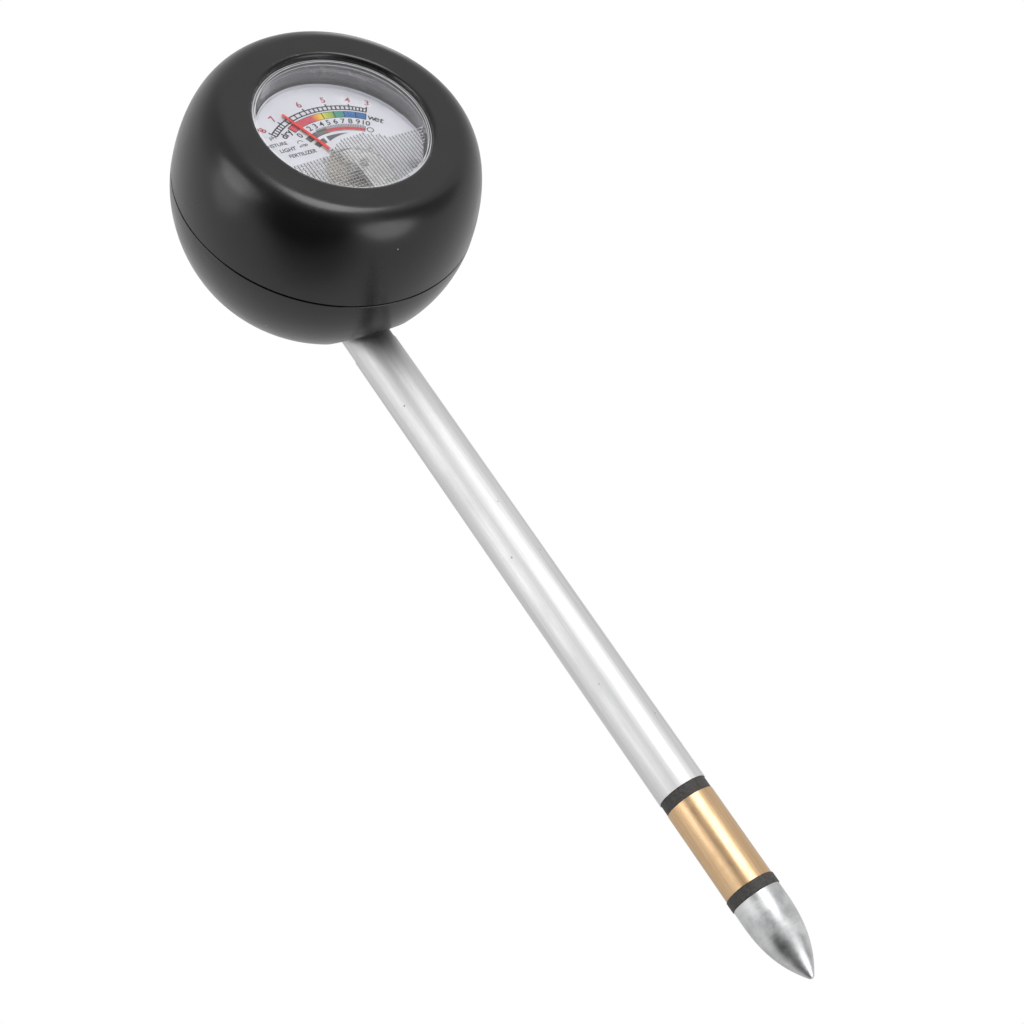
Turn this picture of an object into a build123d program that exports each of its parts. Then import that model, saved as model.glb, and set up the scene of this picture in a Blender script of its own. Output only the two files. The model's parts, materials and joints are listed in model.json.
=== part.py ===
# Soil moisture meter: a round two-piece head with a recessed dial, on a tubular probe that ends in a
# brass electrode ring and a bullet-shaped metal tip.
#
# Frame: millimetres, +Z up along the probe. The origin is on the probe's axis, where the bare tube
# begins under the head. +X is to the reader's right and the dial faces -Y.
# Head frame (u, v, h): u to the reader's right, v up, h out of the dial, with 0 at the head's centre
# and on the seam between the two shells. Everything in the head is drawn there, then placed by HEAD.
from build123d import *
import math
import os

# ---- driving dimensions ------------------------------------------------------------------------
CLEAR = 0.3                 # gap between bodies that move past each other
WALL = 2.0                  # wall of the moulded shells

HEAD_RADIUS = 37.8          # at the seam
HEAD_ABOVE_ORIGIN = 34.0
TUBE_BEHIND_SEAM = 23.4     # the probe's axis runs through the rear shell
FRONT_HEIGHT, FRONT_FLAT, FRONT_FULLNESS = 24.0, 28.0, 0.574
REAR_HEIGHT, REAR_FLAT, REAR_FULLNESS = 31.8, 15.8, 0.50
SEAM_GAP, SEAM_BEVEL = 0.45, 0.1
TONGUE_HEIGHT = 2.2

LIP_RADIUS, LIP_ROUND = 21.75, 1.1
LENS_RADIUS, LENS_FRONT, LENS_THICKNESS, LENS_ROUND = 21.6, 22.5, 2.0, 0.3
SKIRT_FOOT_RADIUS, SKIRT_WALL = 21.95, 0.65
LENS_FLANGE_RADIUS, LENS_FLANGE_FRONT, LENS_FLANGE_BACK = 24.3, 17.2, 15.7
WINDOW_TURN = 2.7           # degrees that the cup sits turned in the case
KNURL_DEPTH, KNURL_CHORD = 0.35, -7.1
KNURL_LOBE_CENTRE, KNURL_LOBE_RADIUS = -16.2, 12.7

DIAL_RADIUS, DIAL_FRONT, DIAL_THICKNESS = 20.9, 15.4, 0.8
DIAL_BACK = DIAL_FRONT - DIAL_THICKNESS
DIAL_EDGE, DIAL_EDGE_FRONT = 0.4, 16.1
PIVOT_V = -11.0             # the pointer's axis, below the centre of the head
DIAL_OPENING = 8.4
POINTER_LENGTH, POINTER_REST = 24.9, 22.6     # degrees to the left of upright
POINTER_MIN, POINTER_MAX = -20.0, 62.0        # travel from rest, clockwise positive
POINTER_BACK, POINTER_THICKNESS = 16.0, 0.3
POINTER_ROOT, POINTER_TIP = 0.36, 0.3         # half widths of the blade
STOP_RING, STOP_RADIUS = 9.2, 0.4

BASE_RADIUS, BASE_BACK = 24.5, 12.2
EAR_RING, EAR_RADIUS = 28.0, 2.8
SHELL_SCREW_RING, SHELL_SCREW_ANGLES = 27.9, (0, 100, 260)    # clockwise from upright
SHELL_BOSS_RADIUS, SHELL_WELL_RADIUS, SHELL_SHANK_RADIUS = 2.7, 2.6, 1.3
SHELL_SCREW_SEAT, SHELL_SCREW_TIP = -12.0, 10.0
CUP_BACK, CUP_RADIUS = 1.0, 10.6

YOKE_INNER, YOKE_OUTER, YOKE_BACK, YOKE_FRONT = 7.5, 9.0, 4.0, 13.4
CORE_RADIUS, CORE_BACK, CORE_FRONT = 5.0, 5.0, 12.4
COIL_INNER, FORMER_WALL, WINDING_WALL = 5.5, 0.4, 0.9
COIL_BACK, COIL_FRONT, COIL_WIDTH = 4.2, 13.2, 4.4
FLANGE_WALL = 0.2
COVER_RADIUS, COVER_WALL, COVER_BACK, COVER_FRONT = 8.35, 0.65, 14.7, 15.0
BRIDGE_BACK, BRIDGE_THICKNESS, BRIDGE_WIDTH = 17.8, 1.0, 3.6
STAFF_RADIUS, HUB_RADIUS = 0.3, 1.3
BOSS_RADIUS = 0.9
SPRING_TURNS, SPRING_STRIP, SPRING_INNER, SPRING_OUTER = 3, 0.12, 1.02, 3.1
SPRING_HEIGHT = 0.3
FRONT_SPRING, REAR_SPRING = 16.95, 1.55       # back face of each hairspring
SPRING_REACH = SPRING_OUTER + SPRING_STRIP

TUBE_RADIUS, TUBE_BORE = 6.0, 5.0
TUBE_NECK = 5.8             # the tube is turned down above the origin, where it goes into the head
TUBE_END = -134.8           # lower end of the aluminium tube
TUBE_TOP_V = -8.0           # its upper end, inside the head
BRASS_TOP, BRASS_END = -137.7, -160.5
BRASS_RADIUS, BRASS_BORE = 5.9, 4.7
TIP_TOP, TIP_END = -163.1, -183.7
TIP_RADIUS, TIP_STRAIGHT, TIP_POINT = 5.9, 3.4, 0.9
UPPER_RING_RADIUS, LOWER_RING_RADIUS = 5.8, 6.1
ROD_RADIUS, ROD_TOP, ROD_END = 1.5, -120.0, -174.0
SPIGOT_LENGTH = 9.0
FACET_V, FACET_SLOPE, FACET_DEPTH = -29.8, 38.05, 1.5     # flat on the rear shell round the tube

BOARD_BACK, BOARD_THICKNESS = -21.6, 1.6
BOARD_FRONT = BOARD_BACK + BOARD_THICKNESS
SWITCH_V, SELECTOR_STEP, SELECTOR_STEPS = 2.0, 2.5, 3
SELECTOR_TRAVEL = SELECTOR_STEP * SELECTOR_STEPS
STEM_LENGTH, STEM_WIDTH = 2.4, 2.0
KNOB_LENGTH, KNOB_WIDTH = 6.0, 5.0
RECESS_DEPTH = 1.6
LIGHT_V, LIGHT_RADIUS = 10.5, 3.0
CLAMP_V, CLAMP_LENGTH, CLAMP_REACH = -15.0, 7.0, 11.0
LEAD_RADIUS = 0.5
LEAD_OFFSET, TAG_X = 3.9, -3.4     # the two leads in the tube, either side of its axis
PAD_V = -2.8                # the row of solder pads along the lower edge of the board

TUBE_H = -TUBE_BEHIND_SEAM  # the probe's axis in the head frame
HEAD = Location(Plane(origin=(0, TUBE_H, HEAD_ABOVE_ORIGIN), x_dir=(1, 0, 0), z_dir=(0, -1, 0)))


# ---- drawing helpers, all in the head frame ------------------------------------------------------
def post(u, v, low, high, radius):
    """A round post along h."""
    return Pos(u, v, (low + high) / 2) * Cylinder(radius, high - low)


def slab(u, v, h):
    """A box from three (low, high) pairs."""
    centre = [(low + high) / 2 for low, high in (u, v, h)]
    size = [high - low for low, high in (u, v, h)]
    return Pos(*centre) * Box(*size)


def turned(*profile):
    """A body turned about h from lines or curves in (radius, h)."""
    return revolve(Plane.XZ * make_face(list(profile)), Axis.Z)


def turned_corners(*corners):
    """A body turned about h from the corners (radius, h) of its section."""
    return turned(Polyline(*corners, close=True))


def dome(radius, flat, height, fullness):
    """Half of the head's form: an oval shoulder from the seam to the flat."""
    shoulder = Bezier((radius, 0), (radius, fullness * height),
                      (flat + fullness * (radius - flat), height), (flat, height))
    return turned(shoulder, Line((flat, height), (0, height)), Line((0, height), (0, 0)),
                  Line((0, 0), (radius, 0)))


def along_v(u, low, high, h, radius):
    """A round bar along v."""
    return Pos(u, (low + high) / 2, h) * Rot(90, 0, 0) * Cylinder(radius, high - low)


def polar(radius, degrees, about=(0, 0)):
    """A place at an angle clockwise from upright."""
    angle = math.radians(degrees)
    return about[0] + radius * math.sin(angle), about[1] + radius * math.cos(angle)


def ring_of(count, radius, first):
    """Evenly spaced places on a circle about the head's centre."""
    return [polar(radius, first + 360 / count * i) for i in range(count)]


def screw(u, v, seat, tip, head_radius, head_height, shank, slot=0.5):
    """A screw driven along h, its slotted head resting on seat and its shank ending at tip."""
    way = 1 if tip > seat else -1
    top = seat - way * head_height
    head = post(u, v, *sorted((seat, top)), head_radius)
    head = chamfer(head.edges().sort_by(Axis.Z)[-1 if way < 0 else 0], head_height * 0.3)
    cut = sorted((top - way, top + way * head_height * 0.5))
    head -= slab((u - head_radius, u + head_radius), (v - slot / 2, v + slot / 2), cut)
    return head + post(u, v, *sorted((seat, tip)), shank)


def group(pieces):
    """Several separate solids in one node."""
    return Part() + list(pieces)


def lead(*points, bend=2.0):
    """An insulated wire along straight runs joined by arcs."""
    path = FilletPolyline(*points, radius=bend)
    return sweep(Plane(path @ 0, z_dir=path % 0) * Circle(LEAD_RADIUS), path)


def hairspring(low):
    """A flat spiral of half turns, each centred on one side of the axis."""
    step = (SPRING_OUTER - SPRING_INNER) / (2 * SPRING_TURNS)
    band = []
    for half in range(2 * SPRING_TURNS):
        side = 1 if half % 2 == 0 else -1
        radius = SPRING_INNER + step * (half + 0.5)
        hoop = Circle(radius + SPRING_STRIP) - Circle(radius - SPRING_STRIP)
        hoop = Pos(step / 2 * side, 0) * hoop
        hoop &= Pos(0, side * 10) * Rectangle(40, 20)
        band.append(hoop)
    return Pos(0, PIVOT_V, low) * extrude(Sketch() + band, SPRING_HEIGHT)


# ---- case --------------------------------------------------------------------------------------
ear_places = ring_of(4, EAR_RING, 45)
shell_screw_places = [polar(SHELL_SCREW_RING, angle) for angle in SHELL_SCREW_ANGLES]
clamp_screw_places = [(side * CLAMP_REACH, CLAMP_V) for side in (-1, 1)]
board_screw_places = [(side * 12.5, 9.0) for side in (-1, 1)]
front_form = dome(HEAD_RADIUS, FRONT_FLAT, FRONT_HEIGHT, FRONT_FULLNESS)
rear_form = dome(HEAD_RADIUS, REAR_FLAT, -REAR_HEIGHT, REAR_FULLNESS)


def trim_at_seam(side):
    """The seam's share of one shell's rim, with the small bevel on its outer edge."""
    rim, out = side * SEAM_GAP / 2, HEAD_RADIUS + 1
    bevel = turned_corners((HEAD_RADIUS - SEAM_BEVEL, rim), (out, rim), (out, rim + side * (1 + SEAM_BEVEL)))
    return bevel + post(0, 0, *sorted((-side, rim)), out)


def make_front_shell():
    shell = front_form - dome(HEAD_RADIUS - WALL, FRONT_FLAT, FRONT_HEIGHT - WALL, FRONT_FULLNESS)
    shell += turned_corners((21.0, LENS_FLANGE_FRONT), (BASE_RADIUS, LENS_FLANGE_FRONT),
                            (BASE_RADIUS, FRONT_HEIGHT - 1), (21.0, FRONT_HEIGHT - 1))
    shell -= trim_at_seam(1)
    for u, v in shell_screw_places:
        shell += post(u, v, 0.02, FRONT_HEIGHT - 1, SHELL_BOSS_RADIUS) & front_form
    for u, v in ear_places:
        shell += post(u, v, BASE_BACK + 2.4, FRONT_HEIGHT - 1, EAR_RADIUS) & front_form
    top = FRONT_HEIGHT
    shell -= turned(RadiusArc((LIP_RADIUS + LIP_ROUND, top), (LIP_RADIUS, top - LIP_ROUND), -LIP_ROUND),
                    Polyline((LIP_RADIUS, top - LIP_ROUND), (LENS_RADIUS + 0.15, LENS_FRONT - 0.1),
                             (SKIRT_FOOT_RADIUS + 0.15, LENS_FLANGE_FRONT - 1),
                             (0, LENS_FLANGE_FRONT - 1), (0, top + 1), (LIP_RADIUS + LIP_ROUND, top + 1),
                             (LIP_RADIUS + LIP_ROUND, top)))
    for u, v in shell_screw_places:
        shell -= post(u, v, -1, SHELL_SCREW_TIP + 2, SHELL_SHANK_RADIUS)
    for u, v in ear_places:
        shell -= post(u, v, 0, 20.5, 1.2)
    return shell


def make_facet():
    """What the rear shell loses where it is cut flat, square to its own slope, round the tube."""
    size = 34
    beyond = Pos(0, FACET_DEPTH - size / 2, 0) * Box(size, size, size)
    return Pos(0, FACET_V, TUBE_H) * Rot(FACET_SLOPE, 0, 0) * beyond


def knob_travel(length, width, low, high):
    """The room that one length of the sliding knob sweeps, with its clearance."""
    reach, half = (SELECTOR_TRAVEL + length) / 2 + CLEAR, width / 2 + CLEAR
    return slab((-reach, reach), (SWITCH_V - half, SWITCH_V + half), (low, high))


def make_rear_shell():
    form = rear_form - make_facet()
    shell = form - dome(HEAD_RADIUS - WALL, REAR_FLAT, -(REAR_HEIGHT - WALL), REAR_FULLNESS)
    shell -= trim_at_seam(-1)
    back = -REAR_HEIGHT
    for u, v in shell_screw_places:
        shell += post(u, v, back, -0.02, SHELL_WELL_RADIUS + 1.3) & form
    for u, v in clamp_screw_places:
        shell += post(u, v, back, TUBE_H + 2.4, 3.0) & form
    for u, v in board_screw_places:
        shell += post(u, v, back, BOARD_BACK, 2.2) & form
    shell += along_v(0, -40, -20, TUBE_H, TUBE_NECK + 2.6) & form
    shell += slab((-9, 9), (SWITCH_V - 4.2, SWITCH_V + 4.2), (back, back + 3.2)) & form
    inner, outer = HEAD_RADIUS - WALL - 1.6, HEAD_RADIUS - WALL
    rim = -SEAM_GAP / 2
    shell += turned_corners((inner, -4), (outer + 0.4, -4), (outer + 0.4, rim), (outer - 0.2, rim),
                            (outer - 0.2, TONGUE_HEIGHT), (inner, TONGUE_HEIGHT))
    for u, v in shell_screw_places:
        shell -= post(u, v, back, SHELL_SCREW_SEAT, SHELL_WELL_RADIUS)
        shell -= post(u, v, SHELL_SCREW_SEAT - 1, 1, SHELL_SHANK_RADIUS + 0.2)
    shell -= along_v(0, -50, 0, TUBE_H, TUBE_NECK)
    for u, v in clamp_screw_places:
        shell -= post(u, v, TUBE_H - 3, TUBE_H + 3, 1.0)
    for u, v in board_screw_places:
        shell -= post(u, v, BOARD_BACK - 5, BOARD_BACK + 1, 0.8)
    shell -= knob_travel(KNOB_LENGTH, KNOB_WIDTH, back - 1, back + RECESS_DEPTH)
    shell -= knob_travel(STEM_LENGTH, STEM_WIDTH, back, back + 4)
    shell -= post(0, LIGHT_V, back - 1, back + 4, LIGHT_RADIUS)
    return shell


def make_window():
    """The clear cup over the dial, with a knurled pad on the back of its face."""
    edge, foot = LENS_RADIUS, SKIRT_FOOT_RADIUS
    back, rim = LENS_FRONT - LENS_THICKNESS, LENS_ROUND
    inside = edge - SKIRT_WALL
    cup = turned(
        Line((0, LENS_FRONT), (edge - rim, LENS_FRONT)),
        RadiusArc((edge - rim, LENS_FRONT), (edge, LENS_FRONT - rim), rim),
        Polyline((edge, LENS_FRONT - rim), (foot, LENS_FLANGE_FRONT), (LENS_FLANGE_RADIUS, LENS_FLANGE_FRONT),
                 (LENS_FLANGE_RADIUS, LENS_FLANGE_BACK), (foot - SKIRT_WALL, LENS_FLANGE_BACK),
                 (inside + 0.1, back), (0, back), (0, LENS_FRONT)))
    pad = Pos(0, KNURL_CHORD - 20) * Rectangle(60, 40) + Pos(0, KNURL_LOBE_CENTRE) * Circle(KNURL_LOBE_RADIUS)
    pad &= Circle(inside - 0.2)
    cup += Pos(0, 0, back - KNURL_DEPTH) * extrude(pad, KNURL_DEPTH + 0.1)
    return Rot(0, 0, WINDOW_TURN) * cup


def make_light_lens():
    inner = -REAR_HEIGHT + WALL
    lens = post(0, LIGHT_V, -REAR_HEIGHT + 0.2, inner, LIGHT_RADIUS)
    return lens + post(0, LIGHT_V, inner, inner + 0.9, 4.0)


# ---- dial and pointer ----------------------------------------------------------------------------
pivot = (0, PIVOT_V)
dial_screw_places = [(-14.0, -12.5), (14.0, -12.5)]
stop_angles = [-POINTER_REST + POINTER_MIN - 5.0, -POINTER_REST + POINTER_MAX + 5.0]
stop_places = [polar(STOP_RING, angle, pivot) for angle in stop_angles]
coil_top = COIL_FRONT + FORMER_WALL + WINDING_WALL
coil_bottom = COIL_BACK - FORMER_WALL - WINDING_WALL


def make_dial_plate():
    low, high = DIAL_BACK - 1, DIAL_FRONT + 1
    plate = post(0, 0, DIAL_BACK, DIAL_FRONT, DIAL_RADIUS) - post(*pivot, low, high, DIAL_OPENING)
    plate += turned_corners((DIAL_RADIUS - DIAL_EDGE, DIAL_FRONT - 0.2), (DIAL_RADIUS, DIAL_FRONT - 0.2),
                            (DIAL_RADIUS, DIAL_EDGE_FRONT), (DIAL_RADIUS - DIAL_EDGE, DIAL_EDGE_FRONT))
    for u, v in dial_screw_places:
        plate -= post(u, v, low, high, 0.9)
    for u, v in stop_places:
        plate -= post(u, v, low, high, STOP_RADIUS)
    return plate


def at_pointer(shape):
    """Turns a shape drawn about the pivot, pointer upright, to where the pointer rests."""
    return Pos(0, PIVOT_V, 0) * Rot(0, 0, POINTER_REST) * shape


def make_pointer():
    """A flat blade with a short tail and two balance arms, round a ring that fits the hub."""
    tip, end = POINTER_TIP, POINTER_LENGTH - POINTER_TIP
    root = POINTER_ROOT
    blade = make_face(Polyline((-root, 0), (-tip, end), (tip, end), (root, 0), close=True))
    blade += Pos(0, end) * Circle(tip)
    blade += Pos(0, -2.75) * Rectangle(0.5, 5.5) + Rectangle(8.4, 0.5)
    blade += Circle(1.9)
    blade -= Circle(BOSS_RADIUS)
    return at_pointer(Pos(0, 0, POINTER_BACK) * extrude(blade, POINTER_THICKNESS))


def make_balance_weights():
    """Coils of wire slid onto the tail and the two arms."""
    middle = POINTER_BACK + POINTER_THICKNESS / 2

    def bush(radius, length):
        return Rot(0, 90, 0) * Cylinder(radius, length) - Box(length + 1, 0.5, POINTER_THICKNESS)
    weights = [Pos(side * 3.3, 0, middle) * bush(0.5, 1.2) for side in (-1, 1)]
    weights.append(Pos(0, -4.6, middle) * Rot(0, 0, 90) * bush(0.9, 1.6))
    return at_pointer(group(weights))


def make_pointer_hub():
    """Two bosses on the coil, front and rear, that carry the staffs, the pointer and the springs."""
    front = post(0, 0, coil_top, POINTER_BACK, HUB_RADIUS)
    front += post(0, 0, POINTER_BACK, FRONT_SPRING + SPRING_HEIGHT, BOSS_RADIUS)
    rear = post(0, 0, REAR_SPRING, coil_bottom, BOSS_RADIUS)
    return at_pointer(group([boss - post(0, 0, -10, 30, STAFF_RADIUS) for boss in (front, rear)]))


def frame_round_core(inner, outer, width):
    """A rectangular loop round the core, standing across the pointer's line."""
    def block(grow):
        low, high = COIL_BACK - grow + COIL_INNER, COIL_FRONT + grow - COIL_INNER
        return slab((-grow, grow), (-width / 2, width / 2), (low, high))
    loop = block(outer)
    loop = fillet(loop.edges().filter_by(Axis.Y), 0.6)
    return loop - block(inner)


def make_coil_former():
    wall = COIL_INNER + FORMER_WALL
    former = frame_round_core(COIL_INNER, wall, COIL_WIDTH)
    flange = frame_round_core(COIL_INNER, wall + WINDING_WALL - 0.1, FLANGE_WALL)
    for side in (-1, 1):
        former += Pos(0, side * (COIL_WIDTH + FLANGE_WALL) / 2, 0) * flange
    return at_pointer(former)


def make_coil_winding():
    wall = COIL_INNER + FORMER_WALL
    return at_pointer(frame_round_core(wall, wall + WINDING_WALL, COIL_WIDTH))


def make_staffs():
    """Two steel staffs on the axis, each ending in a blunt cone."""
    def staff(foot, tip):
        way = 1 if tip > foot else -1
        bar = post(0, 0, *sorted((foot, tip - way * 0.7)), STAFF_RADIUS)
        cone = Pos(0, 0, tip - way * 0.35) * Rot(0 if way > 0 else 180, 0, 0) * Cone(STAFF_RADIUS, 0.08, 0.7)
        return bar + cone
    return at_pointer(group([staff(coil_top, BRIDGE_BACK + 0.35), staff(coil_bottom, 0.35)]))


# ---- movement ------------------------------------------------------------------------------------
front_bridge_screw_places = [(side * 3.2, -22.0) for side in (-1, 1)]
rear_bridge_screw_places = [(0, PIVOT_V + side * 10.8) for side in (-1, 1)]
terminal_places = [(side * 13.0, 3.0) for side in (-1, 1)]


def make_yoke():
    ring = post(*pivot, YOKE_BACK, YOKE_FRONT, YOKE_OUTER) - post(*pivot, 0, 20, YOKE_INNER)
    return chamfer(ring.edges().filter_by(GeomType.CIRCLE), 0.2)


def make_core():
    core = post(*pivot, CORE_BACK, CORE_FRONT, CORE_RADIUS)
    return chamfer(core.edges().filter_by(GeomType.CIRCLE), 0.3)


def make_coil_cover():
    """A shallow cap on the front of the yoke, open for the hub and for the bridge's leg."""
    cover = post(*pivot, YOKE_FRONT, COVER_FRONT, COVER_RADIUS)
    cover -= post(*pivot, YOKE_FRONT - 1, COVER_BACK, COVER_RADIUS - COVER_WALL)
    cover -= post(*pivot, YOKE_FRONT, COVER_FRONT + 1, HUB_RADIUS + 0.7)
    half = BRIDGE_WIDTH / 2 + CLEAR
    return cover - slab((-half, half), (-21, -18), (YOKE_FRONT - 1, COVER_FRONT + 1))


def make_core_spacers():
    """Brass blocks that centre the core in the yoke, above and below the sweep of the coil."""
    gap = post(*pivot, CORE_BACK + 1, CORE_FRONT - 1, YOKE_INNER) - post(*pivot, 0, 20, CORE_RADIUS)
    return group([gap & slab((-1.2, 1.2), (PIVOT_V + low, PIVOT_V + low + 8), (0, 20)) for low in (0, -8)])


def make_meter_base():
    """The moulded carrier: a rimmed disc behind the dial, a cup round the yoke and four ears."""
    base = post(0, 0, BASE_BACK, DIAL_BACK, BASE_RADIUS)
    base += turned_corners((DIAL_RADIUS + 0.1, DIAL_BACK - 0.5), (BASE_RADIUS, DIAL_BACK - 0.5),
                           (BASE_RADIUS, LENS_FLANGE_BACK), (DIAL_RADIUS + 0.1, LENS_FLANGE_BACK))
    arm = Box(2 * EAR_RADIUS, 6, DIAL_BACK - BASE_BACK)
    arm = Pos(0, EAR_RING * 0.93, (BASE_BACK + DIAL_BACK) / 2) * arm
    for u, v in ear_places:
        base += post(u, v, BASE_BACK, DIAL_BACK, EAR_RADIUS)
        base += Rot(0, 0, -math.degrees(math.atan2(u, v))) * arm
    base += post(*pivot, CUP_BACK, BASE_BACK, CUP_RADIUS)
    for u, v in rear_bridge_screw_places:
        base += post(u, v, CUP_BACK, BASE_BACK, 2.0)
    base += slab((-5, 5), (-23.6, -20), (8, BASE_BACK))
    base -= post(*pivot, YOKE_BACK, 20, YOKE_OUTER) + post(*pivot, 0, 20, YOKE_OUTER - 1.2)
    base -= slab((-5.2, 5.2), (-23.7, -18), (YOKE_FRONT + 0.2, 20))
    for u, v in front_bridge_screw_places:
        base -= post(u, v, 9, 20, 0.7)
    for u, v in rear_bridge_screw_places:
        base -= post(u, v, 0, 5, 0.7)
    for u, v in terminal_places:
        base -= post(u, v, 10, 20, 0.5)
    for u, v in dial_screw_places:
        base -= post(u, v, BASE_BACK, 20, 0.75)
    for u, v in ear_places:
        base -= post(u, v, 10, 20, 1.3)
    return base


def make_front_bridge():
    """A cranked cock: a foot on the base, a leg through the dial and an arm over the pivot."""
    foot_level = YOKE_FRONT + 0.2
    top = BRIDGE_BACK + BRIDGE_THICKNESS
    half = BRIDGE_WIDTH / 2
    arm = slab((-half, half), (-19.2, PIVOT_V), (BRIDGE_BACK, top))
    arm += post(*pivot, BRIDGE_BACK, top, half + 0.4)
    leg = slab((-half, half), (-19.2, -18.2), (foot_level, top))
    foot = slab((-half, half), (-20.6, -18.2), (foot_level, foot_level + 1))
    foot += slab((-5, 5), (-23.5, -20.6), (foot_level, foot_level + 1))
    bridge = arm + leg + foot - post(*pivot, 10, 20, 1.0)
    for u, v in front_bridge_screw_places:
        bridge -= post(u, v, 10, 20, 0.9)
    return bridge


def make_rear_bridge():
    """A strip behind the cup, with the bent tab that holds the outer end of the rear spring."""
    low = CUP_BACK - 1
    strip = slab((-2, 2), (PIVOT_V - 11, PIVOT_V + 11), (low, CUP_BACK))
    for u, v in rear_bridge_screw_places:
        strip += post(u, v, low, CUP_BACK, 2.0)
        strip -= post(u, v, -1, 2, 0.9)
    far, width = -SPRING_REACH - 0.8, (PIVOT_V - 0.6, PIVOT_V + 0.6)
    strip += slab((far, -1), width, (low, CUP_BACK))
    strip += slab((far, -SPRING_REACH), width, (low, REAR_SPRING + SPRING_HEIGHT))
    return strip - post(*pivot, -1, 2, 1.0)


def make_jewel_screw(low, high, cup_end):
    """A slotted screw with a jewel cup in the end that meets the staff."""
    body = post(*pivot, low, high, 1.0)
    outer = high if cup_end == low else low
    body = chamfer(body.edges().filter_by(GeomType.CIRCLE), 0.15)
    body -= slab((-2, 2), (PIVOT_V - 0.2, PIVOT_V + 0.2), (outer - 0.5, outer + 0.5))
    way = 1 if cup_end == low else -1
    cup = Pos(*pivot, cup_end + way * 0.35) * Rot(0 if way > 0 else 180, 0, 0) * Cone(0.7, 0.3, 0.9)
    return body - cup


def make_zero_lever():
    """A split lever round the front jewel screw that holds the outer end of the front spring."""
    low = BRIDGE_BACK - 0.4
    arm, width = (-SPRING_REACH - 0.8, -1), (PIVOT_V - 0.5, PIVOT_V + 0.5)
    lever = post(*pivot, low, BRIDGE_BACK, 1.9) + slab(arm, width, (low, BRIDGE_BACK))
    lever += slab((arm[0], -SPRING_REACH), width, (FRONT_SPRING, low))
    return lever - post(*pivot, low - 1, BRIDGE_BACK + 1, 1.0)


# ---- electrics in the rear shell -------------------------------------------------------------------
def make_board():
    board = slab((-15, 15), (-4, 16), (BOARD_BACK, BOARD_FRONT))
    board = fillet(board.edges().filter_by(Axis.Z), 1.5)
    for u, v in board_screw_places:
        board -= post(u, v, BOARD_BACK - 1, BOARD_FRONT + 1, 1.1)
    return board


def make_switch():
    """The slide switch's can, open at the back where the knob's stem runs."""
    can = slab((-8.5, 8.5), (SWITCH_V - 3.2, SWITCH_V + 3.2), (BOARD_BACK - 5.2, BOARD_BACK))
    return can - knob_travel(STEM_LENGTH, STEM_WIDTH, BOARD_BACK - 6, BOARD_BACK - 3.2)


def make_selector_knob():
    """A ribbed slider in the recess of the rear shell, with its stem in the switch."""
    floor, top = -REAR_HEIGHT + RECESS_DEPTH - 0.2, -REAR_HEIGHT + 0.1

    def block(u, length, width, low, high):
        return slab((u - length / 2, u + length / 2), (-width / 2, width / 2), (low, high))
    cap = block(0, KNOB_LENGTH, KNOB_WIDTH, top, floor)
    for i in range(-2, 3):
        cap -= block(i * 1.1, 0.5, KNOB_WIDTH + 1, top - 1, top + 0.4)
    stem = block(0, STEM_LENGTH, STEM_WIDTH, floor, BOARD_BACK - 3.8)
    return Pos(-SELECTOR_TRAVEL / 2, SWITCH_V, 0) * (cap + stem)


def make_resistor(v):
    """A calibration resistor lying across the front of the board on its two bent leads."""
    level, reach, half = BOARD_FRONT + 1.3, 5.0, 0.25
    body = Pos(0, v, level) * Rot(0, 90, 0) * Cylinder(1.1, 6)
    for side in (-1, 1):
        span = sorted((side * 3, side * reach))
        body += slab(span, (v - half, v + half), (level - half, level + half))
        foot = (side * reach - half, side * reach + half)
        body += slab(foot, (v - half, v + half), (BOARD_FRONT, level + half))
    return body


def make_light_cell():
    return post(0, LIGHT_V, BOARD_BACK - 3.6, BOARD_BACK, 2.5)


def make_clamp():
    """A saddle over the tube, screwed to two bosses of the rear shell."""
    low, high = CLAMP_V - CLAMP_LENGTH / 2, CLAMP_V + CLAMP_LENGTH / 2
    saddle = along_v(0, low, high, TUBE_H, TUBE_NECK + WALL)
    saddle += slab((-14, 14), (low, high), (TUBE_H + 2.4, TUBE_H + 4.4))
    saddle &= slab((-14, 14), (low, high), (TUBE_H + 0.5, 0))
    saddle -= along_v(0, low - 1, high + 1, TUBE_H, TUBE_NECK)
    for u, v in clamp_screw_places:
        saddle -= post(u, v, TUBE_H, 0, 1.3)
    return saddle - post(0, CLAMP_V, TUBE_H, 0, 1.2)


def make_tube_tag():
    """A solder tag under the tube's screw."""
    low = TUBE_H + TUBE_NECK + WALL
    tag = post(0, CLAMP_V, low, low + 0.4, 2.4)
    tag += slab((-1.2, 1.2), (CLAMP_V, CLAMP_V + 6.5), (low, low + 0.4))
    return tag - post(0, CLAMP_V, low - 1, low + 1, 1.2)


# ---- probe, drawn in the part's own frame -----------------------------------------------------------
def turned_up(low, high, radius, x=0.0, y=0.0):
    return Pos(x, y, (low + high) / 2) * Cylinder(radius, high - low)


def make_tube():
    top = HEAD_ABOVE_ORIGIN + TUBE_TOP_V
    tube = turned_up(TUBE_END, 0, TUBE_RADIUS) + turned_up(0, top, TUBE_NECK)
    tube -= turned_up(TUBE_END - 1, top + 1, TUBE_BORE)
    hole = Pos(0, 0, HEAD_ABOVE_ORIGIN + CLAMP_V) * Rot(90, 0, 0) * Pos(0, 0, TUBE_NECK) * Cylinder(1.2, 6)
    return tube - hole


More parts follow.
